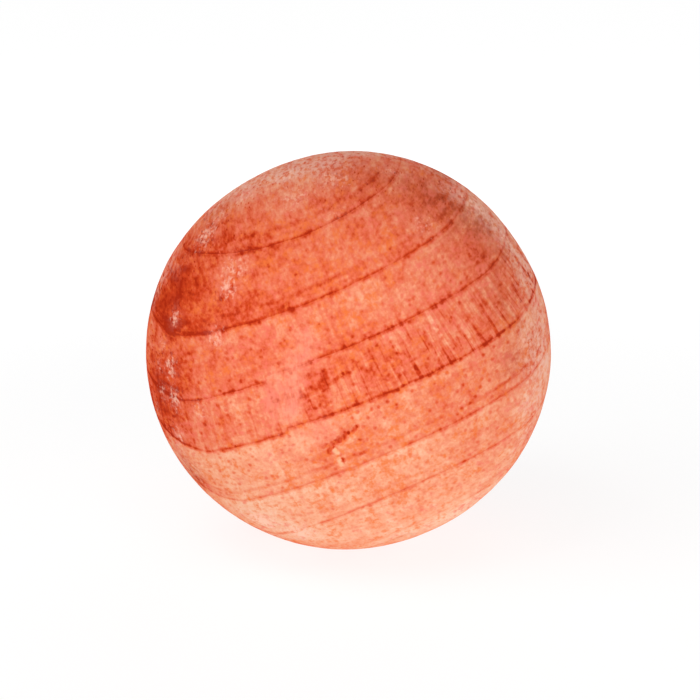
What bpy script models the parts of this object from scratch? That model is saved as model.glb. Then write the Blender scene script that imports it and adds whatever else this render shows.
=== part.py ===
"""Wooden croquet ball: one solid piece, turned from a single billet of hardwood and stained red.

Metres, +Z up. The origin is the ball's centre, and the ball rests on the point below it.
-Y is the end-grain side. The wood has swollen a little across the grain, so the ball is slightly
out of round: longest along its growth rings and shortest across them.
"""

import math

import bpy

# Driving dimensions, in metres.
NOMINAL_DIAMETER = 0.080
# Half of the spread between the longest and the shortest diameter, as a share of the nominal one.
OUT_OF_ROUND = 0.0089
# How far the longest diameter rises from +X towards +Z, in degrees.
LONG_DIAMETER_RISE = 11.0

LONG_DIAMETER = NOMINAL_DIAMETER * (1 + OUT_OF_ROUND)
SHORT_DIAMETER = NOMINAL_DIAMETER * (1 - OUT_OF_ROUND)
GRAIN_DIAMETER = NOMINAL_DIAMETER

# Facets: the flats stay within 0.04 mm of the true curve.
SEGMENTS = 72
RINGS = 36

# Stained wood, as linear RGB.
STAIN_COLOUR = (0.80, 0.18, 0.09, 1.0)
WOOD_ROUGHNESS = 0.62


def clear_scene():
    for obj in list(bpy.data.objects):
        bpy.data.objects.remove(obj, do_unlink=True)


def make_collection(name):
    collection = bpy.data.collections.new(name)
    bpy.context.scene.collection.children.link(collection)
    return collection


def stained_wood():
    material = bpy.data.materials.new("stained_wood")
    material.use_nodes = True
    shader = material.node_tree.nodes["Principled BSDF"]
    shader.inputs["Base Color"].default_value = STAIN_COLOUR
    shader.inputs["Roughness"].default_value = WOOD_ROUGHNESS
    shader.inputs["Metallic"].default_value = 0.0
    return material


def turned_ball(collection):
    """A sphere primitive, drawn out to the three diameters and tilted to the growth rings."""
    bpy.ops.mesh.primitive_uv_sphere_add(segments=SEGMENTS, ring_count=RINGS, radius=NOMINAL_DIAMETER / 2)
    ball = bpy.context.object
    ball.name = "ball"
    ball.data.name = "ball"
    ball.scale = (
        LONG_DIAMETER / NOMINAL_DIAMETER,
        GRAIN_DIAMETER / NOMINAL_DIAMETER,
        SHORT_DIAMETER / NOMINAL_DIAMETER,
    )
    # A turn about +Y takes +X down, so the long diameter rises with a negative angle.
    ball.rotation_euler = (0.0, -math.radians(LONG_DIAMETER_RISE), 0.0)
    bpy.ops.object.transform_apply(location=False, rotation=True, scale=True)
    ball.data.shade_smooth()
    ball.data.materials.append(stained_wood())
    for old in list(ball.users_collection):
        old.objects.unlink(ball)
    collection.objects.link(ball)
    return ball


def main():
    clear_scene()
    turned_ball(make_collection("croquet_ball"))


main()
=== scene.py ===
import math
import random

import bmesh
import bpy
import numpy as np
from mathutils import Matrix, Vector, noise


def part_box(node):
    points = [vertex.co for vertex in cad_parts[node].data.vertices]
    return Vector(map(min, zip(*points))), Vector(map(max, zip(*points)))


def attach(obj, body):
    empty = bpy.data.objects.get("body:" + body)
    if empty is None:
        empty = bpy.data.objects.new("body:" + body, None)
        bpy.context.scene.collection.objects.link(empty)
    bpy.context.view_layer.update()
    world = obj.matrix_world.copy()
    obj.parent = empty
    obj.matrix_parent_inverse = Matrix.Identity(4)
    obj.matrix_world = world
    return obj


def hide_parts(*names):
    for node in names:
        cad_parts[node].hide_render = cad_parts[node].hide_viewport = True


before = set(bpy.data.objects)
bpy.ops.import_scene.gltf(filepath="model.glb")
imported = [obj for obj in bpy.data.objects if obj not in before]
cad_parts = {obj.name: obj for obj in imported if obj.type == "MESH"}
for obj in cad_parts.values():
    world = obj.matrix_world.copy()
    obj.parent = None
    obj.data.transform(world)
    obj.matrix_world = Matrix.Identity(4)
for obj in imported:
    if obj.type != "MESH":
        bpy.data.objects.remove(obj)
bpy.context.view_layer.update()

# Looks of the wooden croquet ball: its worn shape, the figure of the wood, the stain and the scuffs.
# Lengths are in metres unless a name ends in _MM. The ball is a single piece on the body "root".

low, high = (np.array(corner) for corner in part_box("ball"))
CENTRE = (low + high) / 2
RADIUS = float(high[1] - low[1]) / 2
FLOOR_Z = float(low[2])
MM = 0.001
RADIUS_MM = RADIUS / MM

# The camera stands in front of the end grain and looks slightly down.
CAMERA_RISE = math.radians(14.0)
LENS_MM = 85.0
SENSOR_MM = 36.0
BALL_SHARE = 0.5722          # the ball's mean diameter, as a share of the picture's width
AIM_RIGHT = 0.0075           # how far right of the ball's centre the camera aims, in ball radii
RIM_SLOPE = BALL_SHARE * SENSOR_MM / 2 / LENS_MM       # of the line of sight that grazes the ball
CAMERA_DISTANCE = 1 / math.sin(math.atan(RIM_SLOPE))   # from the ball's centre, in ball radii

RIGHT = np.array([1.0, 0.0, 0.0])
TOWARD = np.array([0.0, -math.cos(CAMERA_RISE), math.sin(CAMERA_RISE)])
UP = np.array([0.0, math.sin(CAMERA_RISE), math.cos(CAMERA_RISE)])

# The grain: fibres run front to back along Y. The pith lay up and to the left, so each growth ring
# crosses the ball as a nearly flat layer that faces it.
PITH_LEAN = math.radians(23.0)
PITHWARD = np.array([-math.sin(PITH_LEAN), 0.0, math.cos(PITH_LEAN)])
ALONG = np.array([math.cos(PITH_LEAN), 0.0, math.sin(PITH_LEAN)])
PITH_DISTANCE_MM = 140.0

# Ring lines from the pith outwards: height towards the pith in mm, lean in degrees, bow in mm at
# 20 mm to either side, how dark the line, the late wood before it and its faint echo are, and how
# much deeper the stain is from the line before to this one.
RINGS = (
    (40.0, -4.0, 2.6, 0.5, 0.3, 0.3, 0.00),
    (29.2, -4.2, 2.1, 0.75, 0.55, 0.7, -0.04),
    (18.7, -1.2, 0.5, 0.9, 0.3, 0.6, 0.04),
    (9.0, 0.3, -0.15, 0.95, 0.55, 0.3, -0.06),
    (-1.1, -0.5, -0.3, 1.0, 0.3, 0.4, 0.04),
    (-11.7, 0.5, -0.7, 0.75, 0.4, 1.0, -0.08),
    (-20.5, 2.0, -1.5, 0.95, 0.4, 0.4, -0.12),
    (-30.6, 2.5, -2.0, 0.3, 0.3, 0.3, -0.02),
    (-41.0, 3.0, -2.5, 0.5, 0.3, 0.3, 0.00),
)
LINE, LATE, ECHO, TONE = 3, 4, 5, 6     # columns of RINGS
ECHO_MM = 2.2                # how far on the pith's side of its line the echo lies
BOW_AT_MM = 20.0             # where along the ring its bow is given

# The lines curl up towards the pith at either flank: where it starts, as a share of the half-chord,
# and how many mm it reaches at the flank.
CURL_LEFT = (0.68, 8.0)
CURL_RIGHT = (0.74, 2.6)

# A slip in the grain lifts two of the lines on its right: place along the rings, lift and reach in mm.
FAULT_RINGS = (3, 4)
FAULT_AT_MM = -12.0
FAULT_LIFT_MM = 0.9
FAULT_REACH_MM = 14.0

# Behind the front, where the lines are given one by one, the grain wanders: by how much, over what
# size, and between which places along the fibres it sets in.
WANDER_MM = 1.6
WANDER_SIZE_MM = 24.0
WANDER_SPAN_MM = (-12.0, 18.0)

# Strength of the rays by ring coordinate, and by place along the rings in mm. Outside that ring they
# are faint. Then the strength of the pores by ring coordinate.
RAYS_BY_RING = ((2.9, 0.25), (3.1, 0.7), (3.7, 1.0), (4.0, 1.0), (4.05, 0.2))
RAYS_ALONG = ((-30, 0.5), (-14, 0.5), (2, 0.7), (16, 1.0), (30, 0.9))
FAINT_RAYS = 0.2
PORES_BY_RING = (
    (0.0, 0.35),
    (2.0, 0.45),
    (2.6, 0.75),
    (3.3, 0.80),
    (3.9, 0.60),
    (4.1, 1.00),
    (4.7, 0.90),
    (5.1, 0.60),
    (8.0, 0.45),
)

# Places on the front are given as the camera sees them: right of and above the ball's centre, with
# the rim of the ball at 1.
# Stain: right, up, reach in radii, and how much deeper (or, if negative, paler) it is there.
STAIN_PATCHES = (
    (-0.92, 0.25, 0.42, 0.40),
    (-0.74, 0.50, 0.20, 0.05),
    (-0.76, 0.12, 0.10, -0.07),
    (-0.84, 0.26, 0.08, 0.10),
    (-0.90, -0.20, 0.22, 0.33),
    (-0.98, -0.30, 0.10, 0.12),
    (-0.91, 0.00, 0.09, -0.16),
    (-0.75, -0.43, 0.09, -0.05),
    (-0.60, 0.60, 0.10, 0.07),
    (-0.48, 0.48, 0.10, 0.05),
    (-0.02, 0.87, 0.08, 0.06),
    (-0.43, -0.76, 0.12, -0.12),
    (-0.97, 0.24, 0.12, 0.12),
    (-0.98, 0.07, 0.08, -0.14),
    (-0.93, -0.36, 0.08, 0.12),
    (-0.50, 0.10, 0.40, 0.12),
    (-0.25, 0.25, 0.15, -0.07),
    (0.10, 0.84, 0.30, 0.09),
    (0.00, 0.88, 0.09, 0.05),
    (0.22, 0.84, 0.10, -0.21),
    (0.40, 0.76, 0.14, 0.18),
    (0.62, 0.51, 0.12, 0.24),
    (0.50, 0.25, 0.12, -0.04),
    (0.80, 0.28, 0.08, 0.06),
    (0.86, -0.12, 0.16, 0.04),
    (0.26, 0.00, 0.12, 0.06),
    (0.50, -0.25, 0.14, 0.05),
    (-0.02, -0.08, 0.30, 0.04),
    (0.02, 0.22, 0.30, -0.06),
    (-0.40, -0.22, 0.20, -0.08),
    (-0.47, -0.50, 0.18, -0.11),
    (0.26, -0.50, 0.15, -0.10),
    (0.85, -0.23, 0.09, -0.09),
    (0.83, 0.21, 0.10, -0.19),
    (0.68, -0.68, 0.10, 0.14),
    (0.84, -0.52, 0.12, 0.06),
    (0.60, -0.62, 0.10, -0.04),
    (0.28, -0.93, 0.10, -0.08),
    (0.05, -0.95, 0.60, -0.36),
    (0.68, -0.78, 0.50, -0.33),
    (-0.62, -0.64, 0.30, -0.21),
    (-0.28, -0.93, 0.18, -0.16),
)

# Pinker skin (or, if negative, more orange): right, up, reach in radii, strength.
BLUSH_PATCHES = (
    (0.50, 0.70, 0.35, 0.5),
    (0.45, 0.22, 0.25, 0.4),
    (-0.32, -0.20, 0.20, 0.5),
    (0.66, -0.72, 0.25, 0.5),
    (-0.90, 0.18, 0.38, -0.35),
    (0.00, 0.50, 0.35, -0.4),
    (0.45, -0.50, 0.50, -0.25),
    (-0.10, -0.70, 0.40, -0.3),
)

# Grime that dulls the red to brown: right, up, reach in radii, share.
GRIME_PATCHES = (
    (0.45, 0.76, 0.20, 0.38),
    (0.48, 0.87, 0.12, 0.26),
    (0.82, 0.45, 0.14, 0.10),
    (0.76, 0.23, 0.12, 0.14),
    (0.68, 0.62, 0.18, 0.34),
    (0.10, 0.88, 0.25, 0.14),
    (0.66, 0.42, 0.25, 0.12),
    (0.90, 0.04, 0.18, 0.14),
    (0.80, -0.06, 0.09, 0.16),
    (-0.66, 0.70, 0.12, 0.18),
    (-0.78, -0.60, 0.10, 0.34),
)

# Dusty film, and a sheen painted in along the rim: right, up, reach in radii, strength.
SHEEN_AND_DUST_PATCHES = (
    (-0.66, 0.74, 0.14, 0.8),
    (-0.46, 0.88, 0.14, 1.2),
    (-0.24, 0.95, 0.20, 2.3),
    (0.30, 0.97, 0.20, 0.6),
    (0.62, 0.76, 0.20, 0.75),
    (0.84, 0.50, 0.20, 0.62),
    (0.95, 0.22, 0.20, 0.60),
    (0.94, -0.04, 0.20, 0.78),
    (0.93, -0.32, 0.20, 0.66),
)

# Scuffs: right, up, reach in mm, strength.
SCUFFS = (
    (-0.72, 0.57, 4.0, 0.9),
    (-0.66, 0.66, 3.6, 0.7),
    (-0.57, 0.40, 3.6, 0.8),
    (-0.60, 0.31, 2.8, 0.9),
    (-0.86, 0.16, 2.4, 0.8),
    (-0.66, 0.06, 2.8, 0.72),
    (-0.92, 0.03, 2.4, 0.6),
    (-0.88, -0.08, 2.8, 0.9),
    (-0.94, -0.07, 2.6, 0.62),
    (-0.86, -0.24, 2.8, 0.9),
    (-0.92, -0.21, 2.4, 0.70),
    (-0.84, -0.42, 2.4, 0.8),
    (-0.74, -0.29, 2.8, 0.65),
    (-0.52, 0.78, 4.0, 0.7),
    (-0.27, 0.76, 4.2, 0.65),
    (-0.32, 0.88, 4.0, 0.8),
    (-0.08, 0.86, 5.0, 0.7),
    (-0.08, 0.68, 3.0, 0.5),
    (0.20, 0.90, 4.0, 0.5),
    (0.37, 0.62, 3.2, 0.6),
    (0.62, 0.73, 3.2, 0.8),
    (0.78, 0.56, 3.6, 0.7),
    (0.86, 0.33, 2.4, 0.5),
    (0.88, 0.05, 3.0, 0.7),
    (0.87, -0.27, 2.4, 0.7),
    (-0.75, -0.60, 2.6, 0.7),
    (-0.43, -0.85, 4.0, 1.15),
    (-0.24, -0.91, 4.0, 1.1),
    (-0.30, -0.46, 2.4, 0.5),
)

# Dark marks: from (right, up) to (right, up), half-width in mm, and how much deeper the stain is.
DARK_MARKS = (
    (-0.055, -0.455, -0.01, -0.42, 0.80, 0.52),
    (-0.095, -0.51, -0.075, -0.465, 0.55, 0.46),
    (0.02, -0.41, 0.035, -0.385, 0.45, 0.48),
    (-0.13, -0.48, -0.11, -0.47, 0.45, 0.36),
    (-0.025, -0.545, -0.025, -0.555, 0.40, 0.50),
    (-0.125, -0.13, -0.12, -0.18, 0.95, 0.26),
    (-0.12, -0.20, -0.035, -0.12, 0.55, 0.30),
    (-0.13, -0.23, -0.13, -0.25, 0.70, 0.20),
    (-0.87, 0.11, -0.80, 0.08, 0.40, 0.24),
    (-0.80, 0.08, -0.66, 0.08, 0.45, 0.24),
    (-0.20, -0.18, -0.14, -0.19, 0.50, 0.18),
    (-0.25, -0.13, -0.25, -0.17, 0.45, 0.22),
    (-0.24, -0.20, -0.205, -0.25, 0.50, 0.30),
    (0.00, -0.11, 0.00, -0.13, 0.70, 0.16),
    (0.11, -0.09, 0.11, -0.11, 0.60, 0.24),
    (0.11, 0.06, 0.22, 0.11, 0.50, 0.14),
    (0.05, -0.08, 0.13, -0.12, 0.40, 0.18),
    (0.11, -0.10, 0.16, -0.20, 0.35, 0.18),
    (0.15, 0.02, 0.17, -0.02, 0.50, 0.18),
    (0.19, -0.04, 0.23, -0.10, 0.35, 0.20),
    (0.22, -0.02, 0.29, -0.05, 0.90, 0.16),
    (0.32, -0.04, 0.35, -0.11, 0.30, 0.24),
    (0.38, 0.08, 0.40, 0.03, 0.50, 0.18),
    (0.40, 0.13, 0.44, -0.02, 0.30, 0.26),
    (0.49, 0.17, 0.56, 0.02, 0.30, 0.22),
    (0.62, 0.20, 0.66, 0.12, 0.28, 0.18),
    (0.26, -0.06, 0.29, -0.14, 0.30, 0.24),
    (-0.50, -0.40, -0.48, -0.42, 0.60, 0.18),
    (-0.83, -0.52, -0.72, -0.67, 0.80, 0.25),
    (-0.52, -0.83, -0.40, -0.89, 0.60, 0.16),
)

# Pale marks, in the same way. The last number is how much of the stain is worn off.
PALE_MARKS = (
    (-0.065, -0.50, -0.055, -0.51, 0.55, 0.74),
    (-0.045, -0.545, -0.035, -0.57, 0.50, 0.66),
    (-0.04, -0.48, 0.02, -0.43, 0.80, 0.35),
    (-0.07, -0.20, -0.06, -0.26, 1.30, 0.30),
    (-0.22, -0.46, -0.24, -0.48, 1.50, 0.25),
)

# Rubbed, pinker smears, in the same way.
SMEARS = (
    (-0.22, 0.04, -0.27, -0.10, 2.40, 0.45),
    (-0.27, -0.10, -0.29, -0.32, 2.00, 0.62),
    (-0.36, -0.14, -0.37, -0.30, 2.00, 0.42),
    (-0.20, -0.45, -0.10, -0.40, 2.20, 0.35),
)

# Worn flats: right, up, half-width in degrees, depth in mm.
FLATS = (
    (0.84, 0.54, 20.0, 0.45),
    (-0.50, 0.86, 21.0, 0.60),
    (0.42, -0.90, 18.0, 0.25),
)

# The gouge and the chip beside it: from (right, up) to (right, up), half-width and depth in mm.
GOUGES = (
    (-0.11, -0.49, 0.035, -0.385, 0.45, 0.35),
    (-0.085, -0.51, -0.035, -0.57, 0.50, 0.20),
)

# Random dents and scuffs away from the front: how many, the seed, and how near the middle of the
# front they may come, as the cosine of the angle from it.
DENTS = (34, 5, 0.45)
STRAY_SCUFFS = (44, 11, 0.35)

# Their smallest and largest half-width, depth, reach and strength.
DENT_DEGREES = (3.0, 8.0)
DENT_DEPTH_MM = (0.06, 0.28)
STRAY_REACH_MM = (1.5, 5.0)
STRAY_STRENGTH = (0.45, 0.95)

# The uneven skin: height of the bumps in mm, how many fit in the ball's radius, and octaves.
SKIN_BUMPS = ((0.05, 3.0, 2), (0.03, 16.0, 3))
BACK_STAIN = 0.28            # how uneven the stain is away from the front
SKIN_LIFT_MM = 0.15          # how far outside the CAD ball the skin lies where nothing wore it


def srgb(red, green, blue):
    """A colour given as 0 to 255 sRGB values, as linear RGBA."""
    linear = []
    for value in (red, green, blue):
        share = value / 255
        linear.append(share / 12.92 if share <= 0.04045 else ((share + 0.055) / 1.055) ** 2.4)
    return (*linear, 1.0)


def on_front(right, up):
    """The direction of the point that the camera sees this far right of and above the centre."""
    sight = RIM_SLOPE * (right * RIGHT + up * UP) - TOWARD
    sight = sight / np.linalg.norm(sight)
    nearest = -CAMERA_DISTANCE * (TOWARD @ sight)
    depth = math.sqrt(max(0.0, 1 - CAMERA_DISTANCE ** 2 + nearest ** 2))
    place = CAMERA_DISTANCE * TOWARD + (nearest - depth) * sight
    return place / np.linalg.norm(place)


def share_between(limits, value):
    """How far a value is from the first limit to the second, held between 0 and 1."""
    first, last = limits
    return np.clip((value - first) / (last - first), 0, 1)


def value_between(limits, share):
    """The value at a share of the way from the first limit to the second."""
    first, last = limits
    return first + (last - first) * share


def angle_from(directions, place):
    """Angle in radians between each direction and a place on the ball."""
    return np.arccos(np.clip(directions @ place, -1.0, 1.0))


# ---------------------------------------------------------------- figure of the wood

def curl(flank, start, reach_mm):
    """How far a line has curled up, at each share of the way out to the flank."""
    return reach_mm * share_between((start, 1.0), flank) ** 2


def ring_heights(along_mm):
    """Height of each ring line, in mm, at the given places along the rings."""
    past_fault = along_mm - FAULT_AT_MM
    lift = np.where(past_fault > 0, FAULT_LIFT_MM * np.exp(-np.abs(past_fault) / FAULT_REACH_MM), 0.0)
    heights = []
    for index, (height, lean, bow, *_) in enumerate(RINGS):
        slope = math.tan(math.radians(lean))
        line = height + slope * along_mm + bow * (along_mm / BOW_AT_MM) ** 2
        flank = along_mm / math.sqrt(max(1.0, RADIUS_MM ** 2 - height ** 2))
        line = line + curl(-flank, *CURL_LEFT) + curl(flank, *CURL_RIGHT)
        heights.append(line + lift * (index in FAULT_RINGS))
    return np.array(heights)


def ring_coordinate(points_mm):
    """The ring coordinate, whole on each ring line and growing outwards, and the ring width in mm."""
    along = points_mm @ ALONG
    height = points_mm @ PITHWARD
    behind = share_between(WANDER_SPAN_MM, points_mm[:, 1])
    height = height + WANDER_MM * behind * smooth_noise(points_mm / WANDER_SIZE_MM, 2)
    lines = ring_heights(along)
    ring = np.zeros(len(points_mm))
    width = np.ones(len(points_mm))
    for index in range(len(RINGS) - 1):
        gap = lines[index] - lines[index + 1]
        share = (lines[index] - height) / gap
        inside = (share >= 0) & (share < 1)
        ring[inside] = index + share[inside]
        width[inside] = gap[inside]
    return ring, width


def by_ring(ring, column):
    """A column of RINGS, read at each point's nearest ring line."""
    return np.array([row[column] for row in RINGS])[np.round(ring).astype(int)]


def band_tone(ring):
    """The stain's depth from ring to ring, changing at each line."""
    places, tones = [], []
    for index, row in enumerate(RINGS[1:], 1):
        places += [index - 0.94, index - 0.02]
        tones += [row[TONE], row[TONE]]
    return np.interp(ring, places, tones)


def ray_strength(ring, along_mm):
    """Rays show most in one ring, and more to the right."""
    in_ring = np.interp(ring, *zip(*RAYS_BY_RING))
    sideways = np.interp(along_mm, *zip(*RAYS_ALONG))
    inside = (ring > RAYS_BY_RING[0][0]) & (ring < RAYS_BY_RING[-1][0])
    return np.where(inside, in_ring * sideways, FAINT_RAYS)


def pore_strength(ring):
    """Pores show most in the rings below the one with the rays."""
    return np.interp(ring, *zip(*PORES_BY_RING))


def side_share(directions):
    """0 on the end grain in front and behind, 1 where the skin runs along the fibres."""
    return 1 - share_between((0.35, 0.70), np.abs(directions[:, 1]))


# ---------------------------------------------------------------- shape

def ball_mesh(cuts, fine_place, fine_reach):
    """A gridded cube blown up to an even unit sphere, with closer points around one place."""
    bm = bmesh.new()
    bmesh.ops.create_cube(bm, size=2.0)
    bmesh.ops.subdivide_edges(bm, edges=bm.edges, cuts=cuts, use_grid_fill=True)
    for vert in bm.verts:
        vert.co = Vector([math.tan(value * math.pi / 4) for value in vert.co]).normalized()
    for _ in range(FINE_PASSES):
        fine = [edge for edge in bm.edges if (edge.verts[0].co - fine_place).length < fine_reach]
        bmesh.ops.subdivide_edges(bm, edges=fine, cuts=1, use_grid_fill=True)
    for vert in bm.verts:
        vert.co.normalize()
    mesh = bpy.data.meshes.new("turned_ball")
    bm.to_mesh(mesh)
    bm.free()
    return mesh


def get_points(mesh):
    """The mesh's points, as rows of x, y and z."""
    points = np.empty(len(mesh.vertices) * 3)
    mesh.vertices.foreach_get("co", points)
    return points.reshape(-1, 3)


def squares_and_products(points):
    """The terms that make up an ellipsoid's equation, at each point."""
    x, y, z = points.T
    return np.stack([x * x, y * y, z * z, x * y, y * z, x * z], axis=1)


def cad_radius(directions):
    """The CAD ball's radius in each direction, from the ellipsoid through its corners."""
    corners = get_points(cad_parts["ball"].data) - CENTRE
    ellipsoid = np.linalg.lstsq(squares_and_products(corners), np.ones(len(corners)), rcond=None)[0]
    return 1 / np.sqrt(squares_and_products(directions) @ ellipsoid)


def smooth_noise(points, octaves):
    """Blender's own noise at each point, about -1 to 1."""
    return np.array([noise.fractal(Vector(point), 0.5, 2.0, octaves) for point in points])


def groove(directions, start, end, half_width_mm):
    """1 along the stretch from start to end on the skin, falling off smoothly to either side, in mm."""
    points = directions * RADIUS_MM
    first, last = on_front(*start) * RADIUS_MM, on_front(*end) * RADIUS_MM
    share = np.clip((points - first) @ (last - first) / np.dot(last - first, last - first), 0, 1)
    away = np.linalg.norm(points - first - share[:, None] * (last - first), axis=1)
    return np.exp(-((away / half_width_mm) ** 2))


def scattered_places(count, seed, nearest):
    """Seeded random directions, clear of the part of the front that is laid out one by one."""
    draw = random.Random(seed)
    places = []
    while len(places) < count:
        place = Vector([draw.gauss(0, 1) for _ in range(3)]).normalized()
        if place.dot(Vector(TOWARD)) < nearest:
            places.append((np.array(place), draw.random(), draw.random()))
    return places


def wear(directions):
    """Change of radius in mm from wear: soft flats, small dents, a gouge and an uneven skin."""
    change = np.zeros(len(directions))
    for right, up, half_width, depth in FLATS:
        angle = angle_from(directions, on_front(right, up))
        change -= depth * np.exp(-((angle / math.radians(half_width)) ** 2))
    for place, wide, deep in scattered_places(*DENTS):
        angle = angle_from(directions, place) / math.radians(value_between(DENT_DEGREES, wide))
        change -= value_between(DENT_DEPTH_MM, deep) * np.exp(-(angle ** 4))
    for right, up, end_right, end_up, half_width, depth in GOUGES:
        change -= depth * groove(directions, (right, up), (end_right, end_up), half_width)
    for bump, per_radius, octaves in SKIN_BUMPS:
        change += bump * smooth_noise(directions * per_radius, octaves)
    return change


def add_attribute(mesh, name, values):
    """Keep one value for each of the mesh's points, for the material to read."""
    attribute = mesh.attributes.new(name, "FLOAT", "POINT")
    attribute.data.foreach_set("value", np.asarray(values, dtype=np.float32))


def patch_sum(directions, patches):
    """The sum of some soft round patches on the front."""
    total = np.zeros(len(directions))
    for right, up, reach, strength in patches:
        angle = angle_from(directions, on_front(right, up))
        total += strength * np.exp(-((angle / reach) ** 2))
    return total


def away_from_front(directions):
    """0 on the face that is laid out one by one, 1 on the sides, top, bottom and back."""
    return share_between((0.55, 0.20), directions @ TOWARD)


def stain_field(directions):
    """Uneven stain: listed patches on the front, and random but of the same kind elsewhere."""
    behind = away_from_front(directions)
    random_stain = BACK_STAIN * smooth_noise(directions * 2.2, 2)
    return patch_sum(directions, STAIN_PATCHES) + behind * random_stain


def sheen_and_dust_field(directions):
    """Painted rim sheen and dusty film: listed patches on the front, and random dusty film elsewhere."""
    behind = away_from_front(directions)
    random_dust = np.clip(smooth_noise(directions * 2.6 + 7.0, 2) * 1.6 - 0.1, 0, 0.8)
    return np.clip(patch_sum(directions, SHEEN_AND_DUST_PATCHES) + behind * random_dust, 0, 1)


def placed_scuffs(directions):
    """The listed scuffs, 1 or a little more at the strongest."""
    total = np.zeros(len(directions))
    for right, up, reach_mm, strength in SCUFFS:
        distance = angle_from(directions, on_front(right, up)) * RADIUS_MM
        total = np.maximum(total, strength * np.exp(-((distance / reach_mm) ** 2)))
    return total


def stray_scuffs(directions):
    """Random scuffs of the same kind, each up to twice as long as it is wide."""
    total = np.zeros(len(directions))
    places = scattered_places(*STRAY_SCUFFS)
    for (place, wide, strong), (other, *_) in zip(places, places[1:]):
        sideways = np.cross(place, other)
        sideways = sideways / np.linalg.norm(sideways)
        across = np.cross(sideways, place)
        reach_mm = value_between(STRAY_REACH_MM, wide)
        away = np.hypot(directions @ sideways * RADIUS_MM / (1 + strong), directions @ across * RADIUS_MM)
        near = (directions @ place > 0) * np.exp(-((away / reach_mm) ** 2))
        total = np.maximum(total, value_between(STRAY_STRENGTH, strong) * near)
    return total


# ---------------------------------------------------------------- node helpers

class Wire:
    """A number that flows through a material's node tree. Arithmetic on it adds Math nodes."""

    def __init__(self, tree, socket):
        self.tree = tree
        self.socket = socket

    def __add__(self, other):
        return self.tree.math("ADD", self, other)

    def __radd__(self, other):
        return self.tree.math("ADD", other, self)

    def __sub__(self, other):
        return self.tree.math("SUBTRACT", self, other)

    def __rsub__(self, other):
        return self.tree.math("SUBTRACT", other, self)

    def __mul__(self, other):
        return self.tree.math("MULTIPLY", self, other)

    def __truediv__(self, other):
        return self.tree.math("DIVIDE", self, other)

    def __rtruediv__(self, other):
        return self.tree.math("DIVIDE", other, self)


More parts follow.
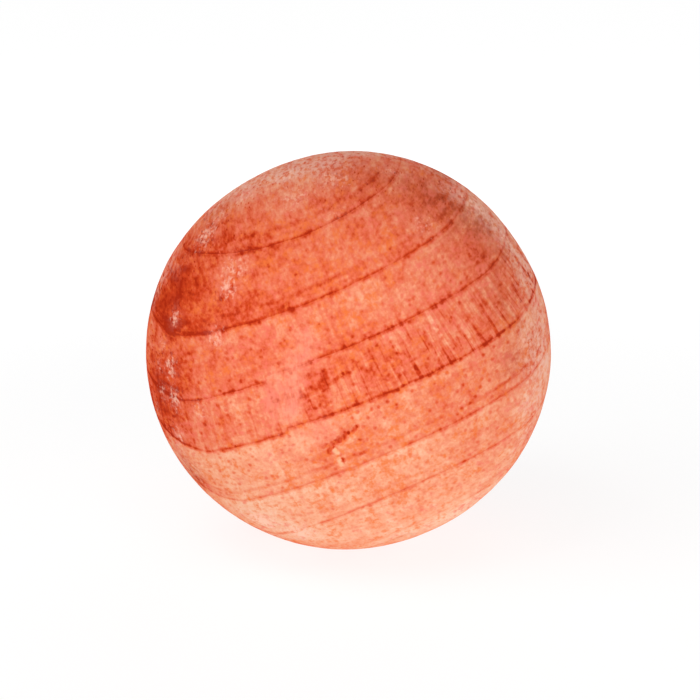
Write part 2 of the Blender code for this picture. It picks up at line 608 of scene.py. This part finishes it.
class Tree:
    """Short calls that build a material's node tree. A vector is passed on as its output socket."""

    def __init__(self, material):
        material.use_nodes = True
        self.nodes = material.node_tree.nodes
        self.links = material.node_tree.links
        self.shader = self.nodes["Principled BSDF"]

    def plug(self, socket, value):
        """Feed a socket from a wire or another socket, or set it to a plain value."""
        if isinstance(value, Wire):
            self.links.new(value.socket, socket)
        elif isinstance(value, bpy.types.NodeSocket):
            self.links.new(value, socket)
        else:
            socket.default_value = value

    def math(self, operation, *values, clamp=False):
        node = self.nodes.new("ShaderNodeMath")
        node.operation = operation
        node.use_clamp = clamp
        for socket, value in zip(node.inputs, values):
            self.plug(socket, value)
        return Wire(self, node.outputs["Value"])

    def clamp(self, value):
        return self.math("ADD", value, 0.0, clamp=True)

    def step(self, value, start, end):
        """0 up to start, 1 from end on, and a smooth rise between. It falls if end is under start."""
        node = self.nodes.new("ShaderNodeMapRange")
        node.interpolation_type = "SMOOTHSTEP"
        self.plug(node.inputs["Value"], value)
        self.plug(node.inputs["From Min"], start)
        self.plug(node.inputs["From Max"], end)
        return Wire(self, node.outputs["Result"])

    def attribute(self, name):
        node = self.nodes.new("ShaderNodeAttribute")
        node.attribute_name = name
        return Wire(self, node.outputs["Fac"])

    def scaled(self, vector, scale, shift=(0.0, 0.0, 0.0)):
        """A place times a scale on each axis, plus a shift."""
        node = self.nodes.new("ShaderNodeVectorMath")
        node.operation = "MULTIPLY_ADD"
        self.plug(node.inputs[0], vector)
        node.inputs[1].default_value = scale
        node.inputs[2].default_value = shift
        return node.outputs["Vector"]

    def split(self, vector):
        node = self.nodes.new("ShaderNodeSeparateXYZ")
        self.plug(node.inputs["Vector"], vector)
        return [Wire(self, socket) for socket in node.outputs]

    def joined(self, x, y, z):
        node = self.nodes.new("ShaderNodeCombineXYZ")
        for socket, value in zip(node.inputs, (x, y, z)):
            self.plug(socket, value)
        return node.outputs["Vector"]

    def noise(self, vector, detail=2.0, roughness=0.5, scale=1.0):
        """Smooth noise from 0 to 1, mostly near the middle."""
        node = self.nodes.new("ShaderNodeTexNoise")
        self.plug(node.inputs["Vector"], vector)
        node.inputs["Scale"].default_value = scale
        node.inputs["Detail"].default_value = detail
        node.inputs["Roughness"].default_value = roughness
        return Wire(self, node.outputs["Fac"])

    def grain(self, space, kind):
        """One of the wood's own noises, about 0."""
        scale, shift, detail, roughness = kind
        return self.noise(self.scaled(space, scale, shift), detail, roughness) - 0.5

    def cells(self, vector):
        """Distance to the nearest of scattered points, and that point's own random number."""
        node = self.nodes.new("ShaderNodeTexVoronoi")
        self.plug(node.inputs["Vector"], vector)
        node.inputs["Scale"].default_value = 1.0
        split = self.nodes.new("ShaderNodeSeparateColor")
        self.links.new(node.outputs["Color"], split.inputs["Color"])
        return Wire(self, node.outputs["Distance"]), Wire(self, split.outputs["Red"])

    def vector(self, operation, *values):
        node = self.nodes.new("ShaderNodeVectorMath")
        node.operation = operation
        for socket, value in zip(node.inputs, values):
            self.plug(socket, value)
        return node

    def stretch(self, place, start, end, half_width):
        """1 along the stretch from start to end, falling to 0 at one and a half half-widths from it."""
        span = end - start
        offset = self.vector("SUBTRACT", place, tuple(start)).outputs["Vector"]
        along = Wire(self, self.vector("DOT_PRODUCT", offset, tuple(span)).outputs["Value"])
        share = self.clamp(along / float(np.dot(span, span)))
        nearest = self.nodes.new("ShaderNodeVectorMath")
        nearest.operation = "SCALE"
        nearest.inputs[0].default_value = tuple(span)
        self.plug(nearest.inputs["Scale"], share)
        away = self.vector("DISTANCE", offset, nearest.outputs["Vector"]).outputs["Value"]
        return self.step(Wire(self, away), half_width * 1.5, half_width * 0.4)

    def bump(self, height, distance):
        """The normal of a skin whose relief is the height times the distance."""
        node = self.nodes.new("ShaderNodeBump")
        node.inputs["Distance"].default_value = distance
        self.plug(node.inputs["Height"], height)
        return node.outputs["Normal"]

    def mix(self, share, first, second):
        node = self.nodes.new("ShaderNodeMix")
        node.data_type = "RGBA"
        factor, first_colour, second_colour = (socket for socket in node.inputs if socket.enabled)
        self.plug(factor, share)
        self.plug(first_colour, first)
        self.plug(second_colour, second)
        return next(socket for socket in node.outputs if socket.enabled)

    def ramp(self, value, stops):
        node = self.nodes.new("ShaderNodeValToRGB")
        self.plug(node.inputs["Fac"], value)
        elements = node.color_ramp.elements
        while len(elements) < len(stops):
            elements.new(1.0)
        for element, (position, colour) in zip(elements, stops):
            element.position = position
            element.color = colour
        return node.outputs["Color"]


# ---------------------------------------------------------------- stained wood

# Stain by depth, from worn pale wood to the dark of a ring line.
STAIN_RAMP = (
    (0.00, srgb(246, 202, 172)),
    (0.20, srgb(243, 176, 142)),
    (0.36, srgb(239, 151, 115)),
    (0.48, srgb(233, 131, 97)),
    (0.60, srgb(230, 111, 79)),
    (0.72, srgb(221, 91, 58)),
    (0.84, srgb(206, 66, 31)),
    (1.00, srgb(172, 42, 17)),
)
BLUSH = srgb(238, 118, 98)
AMBER = srgb(236, 116, 54)
# Dusty film, and the pale sheen painted in along the rim.
DUST_AND_SHEEN = srgb(240, 187, 171)
GRIME = srgb(150, 70, 44)
SCUFFED = srgb(255, 202, 178)
BARE = srgb(248, 186, 142)
PINK = srgb(252, 162, 139)

BASE_DEPTH = 0.42            # of the stain, where nothing makes it deeper or paler
RAMP_FROM = -0.25            # the depth at the start of the ramp, which ends at a depth of 1
RELIEF_MM = 0.06             # of the grain, pores and flecks that are too small for the mesh

# How much deeper (or, if negative, paler) each part of the wood's figure makes the stain.
FIGURE_DEPTH = {
    "late": 0.24,
    "early": -0.09,
    "echo": 0.24,
    "line": 0.44,
    "pores": 0.36,
    "dark_rays": 0.34,
    "pale_rays": -0.24,
    "dashes": 0.34,
}

# Noises in the wood: features per mm along the rings, along the fibres and towards the pith, a shift
# that keeps one noise from following another, detail and roughness.
WAVER = ((0.22, 0.03, 0.22), (0.0, 0.0, 0.0), 2.0, 0.5)
TREMOR = ((1.1, 0.1, 1.1), (0.0, 0.0, 0.0), 2.0, 0.5)
LINE_BEADS = ((0.5, 0.05, 0.5), (3.0, 0.0, 7.0), 2.0, 0.5)
ECHO_BEADS = ((0.3, 0.05, 0.3), (1.0, 0.0, 4.0), 2.0, 0.5)
CLOUD = ((0.16, 0.04, 0.16), (4.0, 2.0, 0.0), 2.0, 0.5)
MOTTLE = ((0.55, 0.11, 0.55), (0.0, 0.0, 0.0), 3.0, 0.66)
FINE_GRAIN = ((1.5, 0.3, 1.5), (9.0, 0.0, 1.0), 1.0, 0.5)
STREAK = ((0.08, 0.02, 0.8), (2.0, 5.0, 3.0), 2.0, 0.5)
TINT = ((1.0, 0.2, 1.0), (5.0, 1.0, 2.0), 2.0, 0.7)
WIDE_TINT = ((0.28, 0.06, 0.28), (1.0, 8.0, 6.0), 2.0, 0.5)

# Pores and dashes per mm, on the same three axes.
PORE_CELLS = (0.75, 0.06, 0.75)
DASH_CELLS = (1.5, 0.13, 1.5)

# Features per mm of the dusty film and painted sheen, and of the brushing, on the ball's own axes.
DUST_AND_SHEEN_SCALE = (1.0, 0.45, 0.9)
BRUSH_SCALE = (2.2, 2.2, 0.35)


def wood_space(tree, place):
    """Place in the billet, in mm: X along the rings, Y along the fibres and Z towards the pith."""
    turn = tree.nodes.new("ShaderNodeMapping")
    tree.plug(turn.inputs["Vector"], place)
    turn.inputs["Rotation"].default_value = (0.0, PITH_LEAN, 0.0)
    return turn.outputs["Vector"]


def ring_figure(tree, space):
    """Each ring's dark line and its echo, the late wood before the line and the early wood after."""
    waver = tree.grain(space, WAVER)
    tremor = tree.grain(space, TREMOR)
    width = tree.attribute("ring_width")
    ring = tree.attribute("ring") + (waver * 0.5 + tremor * 0.07) / width
    share = tree.math("FRACT", ring)
    before = (1.0 - share) * width
    after = share * width
    # The line fades out 0.4 to 1 mm from its middle, and breaks up into beads along its length.
    beads = tree.grain(space, LINE_BEADS)
    nearest = tree.math("MINIMUM", before, after)
    line = tree.step(nearest, 0.71 + beads * 0.66, 0.02)
    line = line * tree.attribute("line_strength") * (0.46 + tree.step(beads, -0.14, 0.18) * 0.60)
    echo_beads = tree.grain(space, ECHO_BEADS)
    echo = tree.step(tree.math("ABSOLUTE", before - ECHO_MM), 0.6, 0.1)
    echo = echo * tree.attribute("echo_strength") * (0.4 + tree.step(echo_beads, -0.15, 0.15) * 0.6)
    # The late wood fades over about 3 mm before the line, and the early wood over 2 mm after it.
    late = tree.math("EXPONENT", before * -0.30) * tree.attribute("late_strength")
    early = tree.math("EXPONENT", after * -0.45)
    return {"line": line, "echo": echo, "late": late, "early": early}


def ray_figure(tree, space):
    """Thin strokes that fan out from the pith, square to the rings."""
    along, fibre, height = tree.split(space)
    fan = along * (PITH_DISTANCE_MM / (PITH_DISTANCE_MM - height))
    # Narrow from ray to ray, longer along the fibres and longest towards the pith.
    strokes = tree.noise(tree.joined(fan * 0.9, fibre * 0.3, height * 0.06), 2.0, 0.55)
    strength = tree.attribute("rays")
    dark = tree.step(strokes, 0.53, 0.66) * strength
    pale = tree.step(strokes, 0.46, 0.34) * strength
    return {"dark_rays": dark, "pale_rays": pale}


def pore_figure(tree, space):
    """Open vessels, which are dots on the end grain, and on the sides dashes along the fibres."""
    # The chance of each cell leaves some of the pores and dashes faint.
    distance, chance = tree.cells(tree.scaled(space, PORE_CELLS))
    pores = tree.step(distance, 0.42, 0.10) * tree.step(chance, 0.08, 0.5)
    distance, chance = tree.cells(tree.scaled(space, DASH_CELLS, (3.0, 1.0, 2.0)))
    dashes = tree.step(distance, 0.32, 0.12) * tree.step(chance, 0.10, 0.70)
    return {"pores": pores * tree.attribute("pores"), "dashes": dashes * tree.attribute("side")}


def mark_share(tree, place, marks):
    """The strongest of some listed marks at each point."""
    total = 0.0
    for right, up, end_right, end_up, half_width, strength in marks:
        start, end = on_front(right, up) * RADIUS_MM, on_front(end_right, end_up) * RADIUS_MM
        mark = tree.stretch(place, start, end, half_width) * strength
        total = tree.math("MAXIMUM", total, mark)
    return total


def placed_marks(tree, place):
    """The listed marks, with ragged edges, and the brushing that breaks up the pale ones."""
    ragged = tree.noise(place, 2.0, 0.6, scale=0.8) - 0.5
    shift = tree.joined(ragged * 1.2, ragged * 0.6, ragged * -1.0)
    ragged_place = tree.vector("ADD", place, shift).outputs["Vector"]
    brushed = tree.noise(tree.scaled(place, BRUSH_SCALE), 3.0, 0.7)
    dark = mark_share(tree, ragged_place, DARK_MARKS)
    pale = mark_share(tree, ragged_place, PALE_MARKS)
    smears = mark_share(tree, ragged_place, SMEARS) * (0.45 + tree.step(brushed, 0.30, 0.70) * 0.55)
    return {"dark": dark, "pale": pale, "smears": smears, "brushed": brushed}


def worn_skin_and_sheen(tree, place, figure):
    """Dusty film and a painted rim sheen, which ring lines and rays show through, and small flecks
    scuffed off the skin.
    """
    scuff = tree.attribute("scuff")
    # This attribute holds the dusty film and a sheen painted along the front's rim.
    sheen_and_dust = tree.attribute("sheen_and_dust")
    worn_place = tree.scaled(place, DUST_AND_SHEEN_SCALE)
    patchiness = tree.noise(worn_place, 3.0, 0.65, scale=1.1) + sheen_and_dust * 0.05
    dust_and_sheen = tree.clamp((sheen_and_dust + scuff * 0.35) * tree.step(patchiness, 0.39, 0.65))
    dust_and_sheen = dust_and_sheen * (1.0 - tree.clamp(figure["line"] + figure["dark_rays"]) * 0.7)
    chance = tree.noise(worn_place, 2.0, 0.55, scale=1.4) * 1.6 + scuff * 0.58
    fleck = tree.step(chance, 1.10, 1.50)
    return {"dust_and_sheen": dust_and_sheen, "fleck": fleck, "scuffed": tree.clamp(fleck * (0.08 + scuff * 0.62))}


def stain_depth(tree, space, figure, marks, grain, dust_and_sheen):
    """How deep the stain is: BASE_DEPTH on plain wood, about 1 on a dark ring line."""
    cloud = tree.grain(space, CLOUD)
    streak = tree.grain(space, STREAK)
    stain = tree.attribute("stain")
    # The grain shows least where the stain is worn off, and less again where it is deep.
    grain_share = tree.step(stain, -0.9, 0.05) * (1.0 - tree.step(stain, 0.15, 0.50) * 0.45)
    depth = BASE_DEPTH + stain + cloud * 0.40 + streak * 0.22 + grain * grain_share
    lines = sum(figure[name] * deeper for name, deeper in FIGURE_DEPTH.items())
    # Pale marks and smears wipe out the wood's figure, and dark marks lie over it.
    depth = depth + lines * (1.0 - tree.clamp(marks["pale"] * 1.6 + marks["smears"] * 0.5))
    # The dusty film and the painted rim sheen make the stain paler.
    return depth + marks["dark"] - marks["pale"] * 0.45 - marks["smears"] * 0.16 - dust_and_sheen * 0.22


def tinted(tree, space, colour, depth):
    """The red drifts towards pink here and amber there, least where the stain is dark."""
    tint = tree.grain(space, TINT) * 2.8 + tree.grain(space, WIDE_TINT) * 2.0
    tint = tint + tree.attribute("blush") * 0.6
    share = 0.04 + tree.step(depth, 0.92, 0.55) * 0.76
    colour = tree.mix(tree.step(tint, 0.0, 1.0) * share, colour, BLUSH)
    return tree.mix(tree.step(tint, 0.0, -1.0) * share, colour, AMBER)


def soiled(tree, colour, grain):
    """Grime, thickest where the grain is dark."""
    grime = tree.attribute("grime") * (0.60 + tree.step(grain, -0.14, 0.18) * 0.65)
    return tree.mix(grime, colour, GRIME)


def rubbed_and_sheened(tree, colour, marks, worn_and_sheen):
    """Dusty film with painted sheen, scuffs and smears over the stain, and bare wood in the pale marks.
    """
    # Painted sheen: this pale colour serves for the dusty film and for the sheen painted along the rim.
    colour = tree.mix(worn_and_sheen["dust_and_sheen"] * 0.63, colour, DUST_AND_SHEEN)
    colour = tree.mix(worn_and_sheen["scuffed"], colour, SCUFFED)
    colour = tree.mix(marks["smears"] * 0.73, colour, PINK)
    bare = tree.step(marks["pale"], 0.25, 1.4)
    bare = bare + tree.step(marks["pale"], 0.0, 0.4) * tree.step(marks["brushed"], 0.35, 0.70) * 0.25
    return tree.mix(bare * (1.0 - tree.clamp(marks["dark"] * 2.0)), colour, BARE)


def stained_wood(material):
    """Wood that took its stain unevenly, with grime, wear and a dusty film that also paints a rim sheen,
    and no gloss.
    """
    tree = Tree(material)
    coordinates = tree.nodes.new("ShaderNodeTexCoord").outputs["Object"]
    place = tree.scaled(coordinates, (1 / MM, 1 / MM, 1 / MM))
    space = wood_space(tree, place)
    figure = {**ring_figure(tree, space), **ray_figure(tree, space), **pore_figure(tree, space)}
    marks = placed_marks(tree, place)
    mottle = tree.grain(space, MOTTLE)
    fine = tree.grain(space, FINE_GRAIN)
    grain = mottle * 0.96 + fine * 0.45
    worn_and_sheen = worn_skin_and_sheen(tree, place, figure)

    depth = stain_depth(tree, space, figure, marks, grain, worn_and_sheen["dust_and_sheen"])
    colour = tree.ramp((depth - RAMP_FROM) / (1.0 - RAMP_FROM), STAIN_RAMP)
    colour = tinted(tree, space, colour, depth)
    colour = soiled(tree, colour, grain)
    colour = rubbed_and_sheened(tree, colour, marks, worn_and_sheen)
    tree.plug(tree.shader.inputs["Base Color"], colour)

    # With no specular, the sheen along the rim is painted into the base colour instead.
    tree.shader.inputs["Roughness"].default_value = 1.0
    tree.shader.inputs["Specular IOR Level"].default_value = 0.0

    relief = fine * 0.8 + mottle * 0.6 - figure["pores"] * 0.8 - figure["line"] * 0.8
    relief = relief - figure["dark_rays"] * 0.4 + worn_and_sheen["fleck"] * 0.4
    tree.plug(tree.shader.inputs["Normal"], tree.bump(relief, RELIEF_MM * MM))


# ---------------------------------------------------------------- the ball

CUTS = 123                   # across each face of the cube that the ball is blown up from
GOUGE_MIDDLE = (-0.05, -0.46)
GOUGE_REACH = 0.11           # how far around the gouge the mesh is finer, in ball radii
FINE_PASSES = 2              # times that the edges around the gouge are halved


def skin_values(directions, surface_mm):
    """What the material reads at each point of the skin, by attribute name."""
    ring, width = ring_coordinate(surface_mm)
    side = side_share(directions)
    return {
        "ring": ring,
        "ring_width": width,
        "line_strength": by_ring(ring, LINE),
        "late_strength": by_ring(ring, LATE),
        "echo_strength": by_ring(ring, ECHO),
        "stain": stain_field(directions) + band_tone(ring),
        "blush": patch_sum(directions, BLUSH_PATCHES),
        "grime": patch_sum(directions, GRIME_PATCHES),
        "sheen_and_dust": sheen_and_dust_field(directions),
        "scuff": np.maximum(placed_scuffs(directions), stray_scuffs(directions)),
        "rays": ray_strength(ring, surface_mm @ ALONG),
        "pores": pore_strength(ring) * (1 - 0.6 * side),
        "side": side,
    }


def make_ball():
    mesh = ball_mesh(CUTS, Vector(on_front(*GOUGE_MIDDLE)), GOUGE_REACH)
    directions = get_points(mesh)
    surface_mm = directions * (cad_radius(directions) / MM)[:, None]
    for name, values in skin_values(directions, surface_mm).items():
        add_attribute(mesh, name, values)
    surface_mm += directions * (SKIN_LIFT_MM + wear(directions))[:, None]
    mesh.vertices.foreach_set("co", (surface_mm * MM + CENTRE).ravel())
    mesh.shade_smooth()
    material = bpy.data.materials.new("stained_wood")
    stained_wood(material)
    mesh.materials.append(material)

    ball = bpy.data.objects.new("turned_ball", mesh)
    bpy.context.scene.collection.objects.link(ball)
    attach(ball, "root")
    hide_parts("ball")


# ---------------------------------------------------------------- stage, light and camera

FLOOR_SIZE = 30.0
FLOOR_GREY = (0.22, 0.22, 0.22, 1.0)
WHITE = (1.0, 1.0, 1.0, 1.0)
GLOW_SPAN = (0.10, 0.45)     # distance from the ball at which the floor's glow starts and stops rising
HORIZON_SPAN = (0.17, 0.40)  # height in the sky, 0 to 1, between the walls and the ceiling

# Square area lights that face the ball: name, direction from the ball, and power in watts.
SOFTBOX_DISTANCE = 0.9
SOFTBOX_SIZE = 0.6
SOFTBOXES = (
    ("key_right", (0.45, -1.0, 0.12), 3.5),
    ("top_front", (0.0, -0.5, 1.0), 1.6),
    ("top_left", (-0.7, -0.5, 1.0), 3.3),
    ("back_fill", (0.3, 1.0, 0.6), 1.5),
)


def make_floor(near_glow, far_glow):
    """A white table top, lit from inside a little, so that it stays white into the distance."""
    bpy.ops.mesh.primitive_plane_add(size=FLOOR_SIZE, location=(0.0, 0.0, FLOOR_Z))
    floor = bpy.context.object
    floor.name = "floor"
    paint = bpy.data.materials.new("floor_white")
    paint.use_nodes = True
    nodes, links = paint.node_tree.nodes, paint.node_tree.links
    shader = nodes["Principled BSDF"]
    shader.inputs["Base Color"].default_value = FLOOR_GREY
    shader.inputs["Roughness"].default_value = 0.9
    shader.inputs["Specular IOR Level"].default_value = 0.0
    shader.inputs["Emission Color"].default_value = WHITE
    place = nodes.new("ShaderNodeTexCoord")
    distance = nodes.new("ShaderNodeVectorMath")
    distance.operation = "LENGTH"
    glow = nodes.new("ShaderNodeMapRange")
    glow.interpolation_type = "SMOOTHSTEP"
    glow.inputs["From Min"].default_value, glow.inputs["From Max"].default_value = GLOW_SPAN
    glow.inputs["To Min"].default_value = near_glow
    glow.inputs["To Max"].default_value = far_glow
    links.new(place.outputs["Object"], distance.inputs[0])
    links.new(distance.outputs["Value"], glow.inputs["Value"])
    links.new(glow.outputs["Result"], shader.inputs["Emission Strength"])
    floor.data.materials.append(paint)


def make_world(overhead, horizon):
    """A soft white room, whose walls may be brighter than its ceiling."""
    world = bpy.data.worlds.new("studio")
    world.use_nodes = True
    nodes, links = world.node_tree.nodes, world.node_tree.links
    direction = nodes.new("ShaderNodeTexCoord")
    split = nodes.new("ShaderNodeSeparateXYZ")
    strength = nodes.new("ShaderNodeMapRange")
    strength.interpolation_type = "SMOOTHSTEP"
    strength.inputs["From Min"].default_value, strength.inputs["From Max"].default_value = HORIZON_SPAN
    strength.inputs["To Min"].default_value = horizon
    strength.inputs["To Max"].default_value = overhead
    links.new(direction.outputs["Generated"], split.inputs[0])
    links.new(split.outputs["Z"], strength.inputs["Value"])
    links.new(strength.outputs["Result"], nodes["Background"].inputs["Strength"])
    nodes["Background"].inputs["Color"].default_value = WHITE
    bpy.context.scene.world = world


def make_softbox(name, direction, power):
    data = bpy.data.lights.new(name, "AREA")
    data.shape = "SQUARE"
    data.size = SOFTBOX_SIZE
    data.energy = power
    light = bpy.data.objects.new(name, data)
    toward = Vector(direction).normalized()
    light.location = Vector(CENTRE) + toward * SOFTBOX_DISTANCE
    light.rotation_euler = toward.to_track_quat("Z", "Y").to_euler()
    bpy.context.scene.collection.objects.link(light)


def make_camera():
    data = bpy.data.cameras.new("camera")
    data.lens = LENS_MM
    data.sensor_width = SENSOR_MM
    data.clip_start = 0.01
    camera = bpy.data.objects.new("camera", data)
    toward = Vector(TOWARD)
    aim = Vector(CENTRE + AIM_RIGHT * RADIUS * RIGHT)
    camera.location = aim + toward * (CAMERA_DISTANCE * RADIUS)
    camera.rotation_euler = toward.to_track_quat("Z", "Y").to_euler()
    bpy.context.scene.collection.objects.link(camera)
    bpy.context.scene.camera = camera


make_ball()
make_floor(near_glow=0.84, far_glow=0.96)
make_world(overhead=0.08, horizon=1.0)
for softbox in SOFTBOXES:
    make_softbox(*softbox)
make_camera()
bpy.context.scene.view_settings.view_transform = "Standard"
